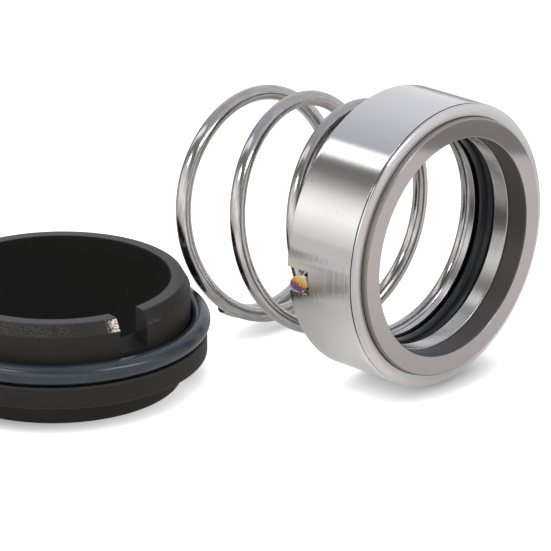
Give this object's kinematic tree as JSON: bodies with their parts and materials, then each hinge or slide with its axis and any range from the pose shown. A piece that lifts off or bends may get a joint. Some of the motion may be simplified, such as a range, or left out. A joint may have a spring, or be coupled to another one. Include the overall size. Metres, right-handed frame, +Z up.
{
  "type": "mechanical seal",
  "caption": "Shaft seal set: a steel carrier with a lapped face ring and an open coil spring lies on its side, beside a flat stationary seat with its own O-ring.",
  "frame": {"origin": "the seat's bore axis at the level of its lapped face, which lies on the table", "axes": "+Z up along the seat's bore, +X along the rotating half's axis toward its lapped face"},
  "size_m": [0.1059, 0.1271, 0.0671],
  "materials": {
    "carrier_steel": "fine-turned stainless steel with a polished rounded rim",
    "face_carbide": "lapped dull mauve-grey carbide",
    "shaft_ring_rubber": "smooth blue-black rubber",
    "thrust_steel": "plain stainless steel",
    "spring_wire": "bright drawn stainless wire with one heat-tinted cut end",
    "seat_carbide": "dull charcoal-brown carbide with a lighter ground top face",
    "seat_ring_rubber": "smooth blue-grey rubber"
  },
  "bodies": {
    "seal_set": {"carrier": "carrier_steel", "face_ring": "face_carbide", "shaft_o_ring": "shaft_ring_rubber", "thrust_ring": "thrust_steel", "seat": "seat_carbide", "seat_o_ring": "seat_ring_rubber"},
    "spring": {"coil_spring": "spring_wire"}
  },
  "joints": [
    {"name": "spring_compress", "type": "slide", "parent": "seal_set", "child": "spring", "axis": [1, 0, 0], "range_m": [0, 0.012], "stiffness_N_per_m": 4300, "deforming": ["coil_spring"]}
  ]
}
